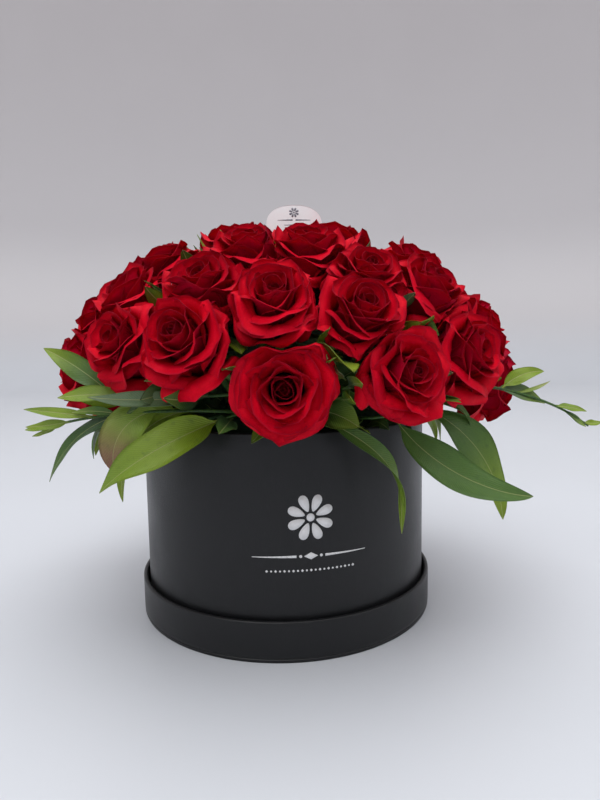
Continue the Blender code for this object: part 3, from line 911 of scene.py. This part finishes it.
def add_calyx(surfaces, matrix, rng):
    """Five pointed sepals bent back under the bloom, and the green cup that they grow from."""
    route = [matrix @ Vector((0, 0, height)) for height in (-0.004, -0.002, 0.002, 0.006)]
    green = np.array((*GREEN, 0.0))
    add_tube(surfaces, route, (0.0026, 0.0048, 0.0056, 0.0040), 10, 1, green)
    for k in range(5):
        turn = math.tau * (k + rng.uniform(-0.08, 0.08)) / 5
        length = rng.uniform(0.020, 0.026)
        along = np.linspace(0, 1, 9)[:, None]
        across = np.linspace(-1, 1, 5)[None, :]
        angle = np.radians(np.interp(along, (0, 0.3, 1), (10, -35 - rng.uniform(0, 30), -70)))
        step = length / 8
        run = 0.0040 + np.concatenate([[[0.0]], np.cumsum(np.cos(angle[1:]) * step, axis=0)])
        climb = 0.001 + np.concatenate([[[0.0]], np.cumsum(np.sin(angle[1:]) * step, axis=0)])
        wide = 0.0030 * (1 - along) ** 0.8 * (0.6 + 1.6 * along * (1 - along)) + 0.00025
        side = across * wide
        r = run + 0 * across
        grid = np.stack([
            r * math.cos(turn) - side * math.sin(turn),
            r * math.sin(turn) + side * math.cos(turn),
            climb - 0.15 * np.abs(side),
        ], axis=2)
        grid = carried(grid, matrix)
        place = np.stack([side * 100, along * length * 100 + 0 * across, 0 * side + k], axis=2)
        tint = np.empty((*side.shape, 4))
        tint[...] = (*GREEN, 0.3)
        add_sheet(surfaces, grid, np.full(side.shape, 0.0004), place, tint, tint, 1)


def carried(points, matrix):
    """The points moved by a matrix."""
    rotation = np.array(matrix.to_3x3())
    return points @ rotation.T + np.array(matrix.translation)


def keep_drop_places(node, points, along, across):
    """Remembers places on the open part of a petal's upper face where water can lie."""
    outward = -grid_normals(points)
    lit = (along > 0.55) & (along < 0.92) & (np.abs(across) < 0.75) & (outward[..., 2] > 0.1)
    DROP_PLACES.setdefault(node, []).extend(zip(points[lit], outward[lit]))


def build_rose(bloom, others, index):
    """One rose: its petals pressed clear of the others, its calyx and its cut stem."""
    rng = np.random.default_rng(100 + index)
    seeded = {
        "open": rng.uniform(0.94, 1.06), "deep": rng.uniform(0.0, 0.9),
        "roll": rng.uniform(0.8, 1.15), "spin": rng.uniform(0, 360),
    }
    habit = {**seeded, **HABITS.get(bloom.node, {})}
    matrix = bloom.matrix(math.radians(habit["spin"]))
    surfaces = Surfaces()
    petals = [
        Petal(k / (PETALS - 1), k * GOLDEN_TURN + rng.normal(0, 0.14), habit, rng) for k in range(PETALS)
    ]
    for turn, roll in habit.get("ears", ()):
        ear = Petal(0.90, math.radians(turn - habit["spin"]), habit, rng)
        ear.roll *= roll
        ear.rim_height += 0.003
        ear.half_width *= 0.9
        ear.flat = 0.1
        petals.append(ear)
    for petal in petals:
        points, along, across, place = petal.grid()
        points = squeezed(carried(points, matrix), bloom, others)
        rim = np.maximum(along / along.max(axis=0, keepdims=True), 0.985 * np.abs(across))
        seed = rng.uniform(0, 1)
        front = np.stack([along, rim, 0 * along, 0 * along + seed], axis=2)
        back = np.stack([along, rim, 0 * along + 1, 0 * along + seed], axis=2)
        if bloom.node in DROPS and petal.share > 0.45:
            keep_drop_places(bloom.node, points, along, across)
        thickness = PETAL_THICK - (PETAL_THICK - PETAL_RIM_THICK) * smooth((rim - 0.6) / 0.4)
        add_sheet(surfaces, points, thickness, place, front, back)
    add_calyx(surfaces, matrix, rng)
    start = bloom.tip - bloom.facing * (BLOOM_LENGTH - 0.001)
    neck = bloom.tip - bloom.facing * (BLOOM_LENGTH + 0.006)
    route = [start, neck] + [neck.lerp(bloom.foot, k / 5) for k in range(1, 6)]
    add_tube(surfaces, route, [STEM_RADIUS * 1.05] + [STEM_RADIUS * 0.94] * 6, 8, 2, np.ones(4))
    name = bloom.node.replace("rose", "bloom")
    piece = linked(name, surfaces.mesh(name, [PETAL, LEAF, STEM]))
    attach(piece, "arrangement")
    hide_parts(bloom.node)


# ---- foliage ----
def add_leaf(surfaces, route, width, roll, foot_colour, tip_colour, rng, petiole=0.10):
    """A lance-shaped leaf on a route: folded along its midrib, with wavy edges and a drawn-out tip."""
    foot_roll, tip_roll = roll if isinstance(roll, tuple) else (roll, roll)
    rows, columns = len(route), 9
    spine = np.array(route)
    along_vectors = np.gradient(spine, axis=0)
    along_vectors /= np.linalg.norm(along_vectors, axis=1, keepdims=True)
    share = np.linspace(0, 1, rows)
    body = np.clip((share - petiole) / (1 - petiole), 0, 1)
    outline = np.sin(math.pi * body**0.82) ** 0.78 * (1 - 0.25 * body)
    half = 0.5 * width * 1.12 * np.maximum(outline, 0)
    half = np.maximum(half, np.interp(share, (0, petiole, 1), (0.0009, 0.0008, 0.00015)))
    fold = 0.34 + 0.12 * rng.uniform(-1, 1)
    phase, waves = rng.uniform(0, 6, 2), rng.uniform(6, 11)
    twist = np.radians(foot_roll + (tip_roll - foot_roll + rng.uniform(-8, 8)) * share)
    across = np.linspace(-1, 1, columns)
    grid = np.empty((rows, columns, 3))
    flat = Vector((along_vectors[0][0], along_vectors[0][1], 1e-6))
    for k in range(rows):
        along = Vector(along_vectors[k])
        level = Vector((along.x, along.y, 0))
        if level.length > 0.15:
            flat = level if level.dot(flat) > 0 else -level
        side = Matrix.Rotation(twist[k], 3, along) @ Vector((0, 0, 1)).cross(flat).normalized()
        up = along.cross(side).normalized()
        edge = 0.20 * np.array([math.sin(waves * share[k] + p) for p in phase])
        edge = np.where(across < 0, edge[0], edge[1]) * np.abs(across) ** 2
        lift = half[k] * (fold * np.abs(across) ** 1.25 + edge - 0.10 * np.abs(across) ** 4)
        grid[k] = spine[k] + np.outer(across * half[k], side) + np.outer(lift, up)
    length = float(np.linalg.norm(np.diff(spine, axis=0), axis=1).sum())
    wide = np.outer(half, across) * 100
    distance = np.outer(share * length * 100, np.ones(columns))
    place = np.stack([wide, distance, 0 * wide + rng.uniform(0, 30)], axis=2)
    blend = smooth((share - 0.35) / 0.6)[:, None]
    colour = (1 - blend) * np.array(foot_colour) + blend * np.array(tip_colour)
    tint = np.ones((rows, columns, 4))
    tint[..., :3] = colour[:, None, :]
    under = tint.copy()
    under[..., :3] = under[..., :3] * 0.85 + 0.15 * np.array(GREY_GREEN)
    thickness = np.full((rows, columns), LEAF_THICK)
    add_sheet(surfaces, grid[:, ::-1], thickness, place[:, ::-1], tint, under)


def build_sprig(name, sprig, index):
    """A sprig: its stem, stuck in the foam, and its leaves."""
    rng = np.random.default_rng(700 + index)
    surfaces = Surfaces()
    stem = route_from(on_circle(*sprig["start"]), *sprig["stem"], 27)
    radii = [SPRIG_RADIUS * (1 - 0.45 * k / (len(stem) - 1)) for k in range(len(stem))]
    add_tube(surfaces, stem, radii, 8, 1, np.ones(4))
    for share, route, width, roll, foot_colour, tip_colour in sprig["leaves"]:
        points = route_from(point_at(stem, share), *route, 26)
        add_leaf(surfaces, points, width, roll, foot_colour, tip_colour, rng)
    piece = linked(name + "_foliage", surfaces.mesh(name + "_foliage", [LEAF, STEM]))
    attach(piece, "arrangement")
    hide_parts(name)


def bent_route(start, outward, length, rng):
    """A route that leaves the start outwards and bends a little to one side."""
    side = Vector(rng.normal(0, 1, 3)).cross(outward).normalized()
    bend = outward + side * rng.uniform(0.2, 0.6)
    end = start + outward * length * 0.9 + side * length * rng.uniform(0.1, 0.3)
    middle = start + bend.normalized() * length * 0.55
    steps = [k / 14 for k in range(15)]
    return [start * (1 - s) ** 2 + middle * (2 * s * (1 - s)) + end * s**2 for s in steps]


def dome_point(azimuth, angle, size=1.0):
    """A point of the dome of bloom tips, or of a smaller dome inside it, and its outward normal."""
    down = math.radians(angle)
    point = on_circle(azimuth, DOME_RADIUS * size * math.sin(down), DOME_RISE * size * math.cos(down))
    normal = Vector((point.x / DOME_RADIUS**2, point.y / DOME_RADIUS**2, point.z / DOME_RISE**2))
    return point + Vector((DOME_OFFSET, 0, DOME_BASE)), normal.normalized()


def clear_of_blooms(route, margin):
    """True when no point of a route lies inside, or within the margin of, a bloom's head."""
    for point in route:
        for bloom in BLOOMS.values():
            away = point - bloom.tip
            depth = -away.dot(bloom.facing)
            if 0 <= depth < HEAD_DEPTH:
                reach = HEAD_RADIUS * math.sqrt(1 - (depth / HEAD_DEPTH) ** 2) + margin
                if (away + bloom.facing * depth).length < reach:
                    return False
    return True


def widest_gaps(amount, apart):
    """Dome places (azimuth, angle) that lie farthest from every bloom tip, and some way apart."""
    tips = np.array([bloom.tip for bloom in BLOOMS.values()])
    tries = []
    for k in range(GAP_TRIES):
        angle = math.degrees(math.acos(1 - (k + 0.5) / GAP_TRIES * 1.05))
        azimuth = (k * SPIRAL_STEP) % 360
        place = np.array(dome_point(azimuth, angle)[0])
        tries.append((float(np.linalg.norm(tips - place, axis=1).min()), azimuth, angle, place))
    chosen = []
    for _, azimuth, angle, place in sorted(tries, key=lambda entry: -entry[0]):
        if all(np.linalg.norm(place - other[2]) > apart for other in chosen):
            chosen.append((azimuth, angle, place))
        if len(chosen) == amount:
            break
    return [(azimuth, angle) for azimuth, angle, _ in chosen]


def build_fillers():
    """Small leaves between the blooms, a ruff under the lowest ring, and a collar round the stems."""
    rng = np.random.default_rng(41)
    surfaces = Surfaces()
    greens = (GREEN, LIGHT_GREEN, YELLOW_GREEN, GREY_GREEN, DARK_GREEN)
    for azimuth, angle in widest_gaps(FILLER_PLACES, FILLER_SPACING):
        grown = 0
        for _ in range(FILLER_TRIES):
            start, outward = dome_point(azimuth + rng.normal(0, 4), angle + rng.normal(0, 4), 0.72)
            reach = (dome_point(azimuth, angle)[0] - start).length
            length, width = reach * rng.uniform(0.72, 0.98), rng.uniform(0.010, 0.015)
            route = bent_route(start, outward, length, rng)
            roll = rng.uniform(-80, 80)
            first, last = greens[rng.integers(0, 5)], greens[rng.integers(0, 4)]
            if grown < FILLERS_IN_A_GAP and clear_of_blooms(route, 0.001):
                add_leaf(surfaces, route, width, roll, first, last, rng, petiole=0.2)
                grown += 1
    for k in range(RUFF_LEAVES):
        azimuth = 360 * (k + rng.uniform(-0.3, 0.3)) / RUFF_LEAVES
        start = on_circle(azimuth, 0.086, rng.uniform(0.146, 0.158))
        heading = azimuth + rng.uniform(-40, 40)
        length = rng.uniform(0.030, 0.046)
        route = route_from(start, heading, rng.uniform(10, 30), rng.uniform(-20, 20), 50, length, 14)
        first, last = greens[rng.integers(0, 5)], greens[rng.integers(0, 5)]
        add_leaf(surfaces, route, rng.uniform(0.012, 0.018), rng.uniform(-50, 50), first, last, rng)
    for k in range(COLLAR_LEAVES):
        azimuth = 137.5 * k + rng.uniform(-8, 8)
        start = on_circle(azimuth, rng.uniform(0.056, 0.090), rng.uniform(0.150, 0.165))
        route = route_from(start, azimuth + rng.uniform(-80, 80), rng.uniform(50, 80), 0, 40, 0.046, 10)
        add_leaf(surfaces, route, rng.uniform(0.018, 0.026), rng.uniform(-90, 90), DARK_GREEN, GREEN, rng)
    piece = linked("filler_leaves", surfaces.mesh("filler_leaves", [LEAF]))
    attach(piece, "arrangement")


def build_under_leaves():
    """A layer of leaves that lies along the dome under the bloom heads and closes the gaps below them."""
    rng = np.random.default_rng(58)
    surfaces = Surfaces()
    for k in range(UNDER_LEAVES):
        angle = math.degrees(math.acos(0.97 - 0.80 * (k + 0.5) / UNDER_LEAVES))
        azimuth = SPIRAL_STEP * k + rng.uniform(-6, 6)
        start, _ = dome_point(azimuth, angle, rng.uniform(0.64, 0.74))
        heading = azimuth + rng.choice((-90, 90)) + rng.uniform(-50, 50)
        turn = -40 if heading > azimuth else 40
        route = route_from(start, heading, rng.uniform(0, 25), turn, 30, rng.uniform(0.042, 0.058), 12)
        last = GREEN if k % 3 else YELLOW_GREEN
        if clear_of_blooms(route, 0.002):
            add_leaf(surfaces, route, rng.uniform(0.018, 0.026), rng.uniform(-40, 40), DARK_GREEN, last, rng)
    piece = linked("under_leaves", surfaces.mesh("under_leaves", [LEAF]))
    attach(piece, "arrangement")


def add_drop(surfaces, point, normal, size):
    """A flattened bead of water that lies on a surface."""
    up = Vector(normal)
    side = up.orthogonal().normalized()
    other = up.cross(side)
    points = [point - 0.3 * size * normal]
    for level in range(1, DROP_RINGS + 1):
        rise = math.pi * (0.5 - level / DROP_RINGS) * 0.98
        for k in range(DROP_SIDES):
            turn = math.tau * k / DROP_SIDES
            around = np.array(math.cos(turn) * side + math.sin(turn) * other)
            points.append(point + size * (around * math.cos(rise) - normal * 0.55 * math.sin(rise)))
    points.append(point + 0.56 * size * normal)
    faces = ring_faces(DROP_RINGS, DROP_SIDES, 1)
    last = len(points) - 1
    for k in range(DROP_SIDES):
        after = (k + 1) % DROP_SIDES
        faces.append((0, 1 + after, 1 + k))
    for k in range(last - DROP_SIDES, last):
        after = k + 1 if k + 1 < last else last - DROP_SIDES
        faces.append((last, k, after))
    surfaces.add(np.array(points), faces)


def build_drops():
    """Water drops left on the petals that were sprayed."""
    rng = np.random.default_rng(77)
    surfaces = Surfaces()
    for node, amount in DROPS.items():
        places = DROP_PLACES[node]
        for pick in rng.choice(len(places), amount, replace=False):
            add_drop(surfaces, *places[pick], rng.uniform(0.0005, 0.0012))
    piece = linked("water_drops", surfaces.mesh("water_drops", [paint_water()]))
    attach(piece, "arrangement")


# ---- printed mark and card ----
class Wall:
    """The outside of the box, as a sheet to print on: across is along the wall, up is height."""

    def __init__(self, radius, azimuth, height):
        self.radius, self.azimuth, self.height = radius, math.radians(azimuth), height

    def point(self, across, up, proud):
        turn = self.azimuth + across / self.radius
        r = self.radius + proud
        return (r * math.sin(turn), -r * math.cos(turn), self.height + up)


class CardFace:
    """The bowed card, as a sheet to print on from a given height upwards."""

    def __init__(self, matrix, wide, height=0.0):
        self.matrix, self.wide, self.height = matrix, wide, height

    def bow(self, across):
        share = across / self.wide
        return 0.0016 * share**2 + 0.0005 * share

    def point(self, across, up, proud):
        depth = self.bow(across) - 0.5 * CARD_THICK - proud
        return tuple(self.matrix @ Vector((across, depth, self.height + up)))


def add_print(surfaces, sheet, outline):
    """A closed, very thin patch of ink with this outline, given anticlockwise."""
    count = len(outline)
    middle = (sum(x for x, _ in outline) / count, sum(y for _, y in outline) / count)
    top = [sheet.point(x, y, INK) for x, y in (middle, *outline)]
    under = [sheet.point(x, y, -INK) for x, y in (middle, *outline)]
    faces = []
    for k in range(count):
        a, b = 1 + k, 1 + (k + 1) % count
        faces.append((0, a, b))
        faces.append((count + 1, count + 1 + b, count + 1 + a))
        faces.append((a, count + 1 + a, count + 1 + b, b))
    surfaces.add(np.array(top + under), faces)


def petal_outline(length, width, turn, start):
    """A rounded petal, fuller at its outer end, that grows from the centre at an angle."""
    outline = []
    for t in np.arange(24) * math.tau / 24:
        along = start + length * 0.5 * (1 - math.cos(t))
        across = 0.5 * width * math.sin(t) * (1.25 - 0.5 * math.cos(t))
        x = along * math.cos(turn) + across * math.sin(turn)
        y = along * math.sin(turn) - across * math.cos(turn)
        outline.append((x, y))
    return outline


def round_outline(x, wide, tall, points=20):
    """An ellipse, or with four points a diamond, with its middle at x."""
    turns = np.arange(points) * math.tau / points
    return [(x + wide * math.cos(turn), tall * math.sin(turn)) for turn in turns]


def add_daisy(surfaces, sheet, size):
    """A plain eight-petalled flower with a dot at its middle."""
    for k in range(8):
        turn = math.tau * (k + 0.5) / 8
        add_print(surfaces, sheet, petal_outline(size * 0.74, size * 0.30, turn, size * 0.26))
    add_print(surfaces, sheet, round_outline(0, size * 0.17, size * 0.17))


def add_rule(surfaces, sheet, side, first, last, thick):
    """A tapering line out to one side, cut into short lengths so that it follows the sheet."""
    pieces = max(2, int((last - first) / 0.003))
    for k in range(pieces):
        (low, wide_low), (high, wide_high) = sorted(
            (side * (first + (last - first) * share), thick * (1 - 0.75 * share) / 2)
            for share in (k / pieces, (k + 1) / pieces)
        )
        add_print(surfaces, sheet, [
            (low, -wide_low), (high, -wide_high), (high, wide_high), (low, wide_low),
        ])


def build_mark():
    """A generic printed flower over an ornamental rule and a row of dots."""
    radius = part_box("box_wrap")[1].x
    surfaces = Surfaces()
    add_daisy(surfaces, Wall(radius, MARK_AZIMUTH, MARK_HEIGHT), MARK_SIZE)
    rule = Wall(radius, MARK_AZIMUTH, MARK_HEIGHT - RULE_DROP)
    for side in (-1, 1):
        add_rule(surfaces, rule, side, 0.0095, 0.0385, 0.0016)
        add_print(surfaces, rule, round_outline(side * 0.0068, 0.0010, 0.0010, 12))
    add_print(surfaces, rule, round_outline(0, 0.0046, 0.0024, 4))
    dots = Wall(radius, MARK_AZIMUTH, MARK_HEIGHT - DOTS_DROP)
    for k in range(-10, 11):
        size, corners = (0.00066, 12) if k % 2 else (0.00096, 4)
        add_print(surfaces, dots, round_outline(k * DOT_PITCH, size, size, corners))
    piece = linked("printed_mark", surfaces.mesh("printed_mark", [WHITE_INK]))
    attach(piece, "box")


def build_card():
    """The oval card, slightly bowed, with a small generic print, and its clear pick."""
    low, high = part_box("card_plate")
    lean = math.radians(CARD_LEAN)
    tall = (high.z - low.z) / math.cos(lean) / 2
    wide = (high.x - low.x) / 2
    stand = Matrix.Translation((low + high) / 2) @ Matrix.Rotation(lean, 4, "X")
    rows, columns = 13, 41
    up = np.sin(np.linspace(-0.5, 0.5, rows) * math.pi)[:, None]
    across = np.sin(np.linspace(-0.5, 0.5, columns) * math.pi)[None, :]
    x = wide * across + 0 * up
    z = tall * 0.985 * up * np.maximum(1 - np.abs(across) ** 2.5, 0.0006) ** 0.45
    face = CardFace(stand, wide)
    grid = np.stack([x, face.bow(x), z], axis=2)
    surfaces = Surfaces()
    tint = np.ones((*x.shape, 4))
    add_sheet(surfaces, carried(grid, stand), np.full(x.shape, CARD_THICK), grid * 100, tint, tint)
    plain = len(surfaces.slots)
    add_daisy(surfaces, CardFace(stand, wide, 0.0090), 0.0040)
    for side in (-1, 1):
        add_rule(surfaces, CardFace(stand, wide, 0.0030), side, 0.0012, 0.0130, 0.0012)
        add_rule(surfaces, CardFace(stand, wide, -0.0010), side, 0.0012, 0.0080, 0.0009)
    for slots in surfaces.slots[plain:]:
        slots[:] = 1  # the ink
    piece = linked("care_card_face", surfaces.mesh("care_card_face", [paint_card(), GREY_INK]))
    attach(piece, "care_card")
    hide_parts("card_plate")
    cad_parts["card_pick"].material_slots[0].material = paint_clear()


# ---- studio ----
def build_floor():
    """A round pale floor that curves up into a wall far outside every view."""
    flat, bend = 2.2, 0.8
    section = [(1.0, 0.0), (flat, 0.0)]
    for turn in np.linspace(0.15, math.pi / 2, 10):
        section.append((flat + bend * math.sin(turn), bend - bend * math.cos(turn)))
    section.append((flat + bend, 3.2))
    segments = 96
    turns = np.arange(segments) * math.tau / segments
    points = np.concatenate([np.zeros((1, 3)), *(ring(radius, height, turns) for radius, height in section)])
    faces = [(0, 1 + k, 1 + (k + 1) % segments) for k in range(segments)]
    for low, after, last, high in ring_faces(len(section), segments, 1):
        faces.append((low, high, last, after))
    mesh = bpy.data.meshes.new("studio_floor")
    mesh.from_pydata(points.tolist(), [], faces)
    mesh.materials.append(paint_backdrop())
    mesh.shade_smooth()
    linked("studio_floor", mesh)


# Soft square lights that face the bouquet: name, place, side (metres) and power (watts).
LAMPS = (
    ("sky_light", (0.0, -0.2, 3.6), 4.0, 82.0),
    ("key_light", (-0.5, -1.1, 1.5), 1.3, 8.5),
    ("fill_light", (1.2, -0.5, 1.0), 1.1, 3.0),
    ("top_light", (0.0, 0.3, 1.8), 1.5, 6.0),
)


def build_lights():
    """A pale sky and the soft lamps."""
    world = bpy.data.worlds.new("studio")
    world.use_nodes = True
    sky = world.node_tree.nodes["Background"]
    sky.inputs["Color"].default_value = (0.92, 0.95, 1.0, 1.0)
    sky.inputs["Strength"].default_value = 0.76
    bpy.context.scene.world = world
    for name, place, size, power in LAMPS:
        data = bpy.data.lights.new(name, "AREA")
        data.size = size
        data.energy = power
        lamp = bpy.data.objects.new(name, data)
        bpy.context.scene.collection.objects.link(lamp)
        lamp.location = place
        lamp.rotation_euler = (Vector((0, 0, 0.16)) - Vector(place)).to_track_quat("-Z", "Y").to_euler()


def build_camera():
    """The camera where the photograph was taken from."""
    pitch, yaw, roll = (math.radians(angle) for angle in (CAMERA_PITCH, CAMERA_YAW, CAMERA_ROLL))
    ahead = Vector((math.sin(yaw) * math.cos(pitch), math.cos(yaw) * math.cos(pitch), -math.sin(pitch)))
    level = Vector((math.cos(yaw), -math.sin(yaw), 0))
    above = level.cross(ahead)
    right = level * math.cos(roll) + above * math.sin(roll)
    up = above * math.cos(roll) - level * math.sin(roll)
    data = bpy.data.cameras.new("camera")
    data.lens = CAMERA_LENS
    data.sensor_width = 36.0
    data.clip_start = 0.02
    camera = bpy.data.objects.new("camera", data)
    bpy.context.scene.collection.objects.link(camera)
    camera.matrix_world = Matrix((
        (right.x, up.x, -ahead.x, CAMERA_PLACE.x),
        (right.y, up.y, -ahead.y, CAMERA_PLACE.y),
        (right.z, up.z, -ahead.z, CAMERA_PLACE.z),
        (0, 0, 0, 1),
    ))
    bpy.context.scene.camera = camera
    bpy.context.scene.view_settings.view_transform = "Standard"


build_floor()
build_lights()
build_camera()
build_box_and_tray()
build_liner()
build_foam()
for number, bloom_node in enumerate(BLOOM_NODES):
    build_rose(BLOOMS[bloom_node], list(BLOOMS.values()), number)
for number, (sprig_name, sprig_shape) in enumerate(SPRIGS.items()):
    build_sprig(sprig_name, sprig_shape, number)

build_fillers()
build_under_leaves()
build_drops()
build_mark()
build_card()
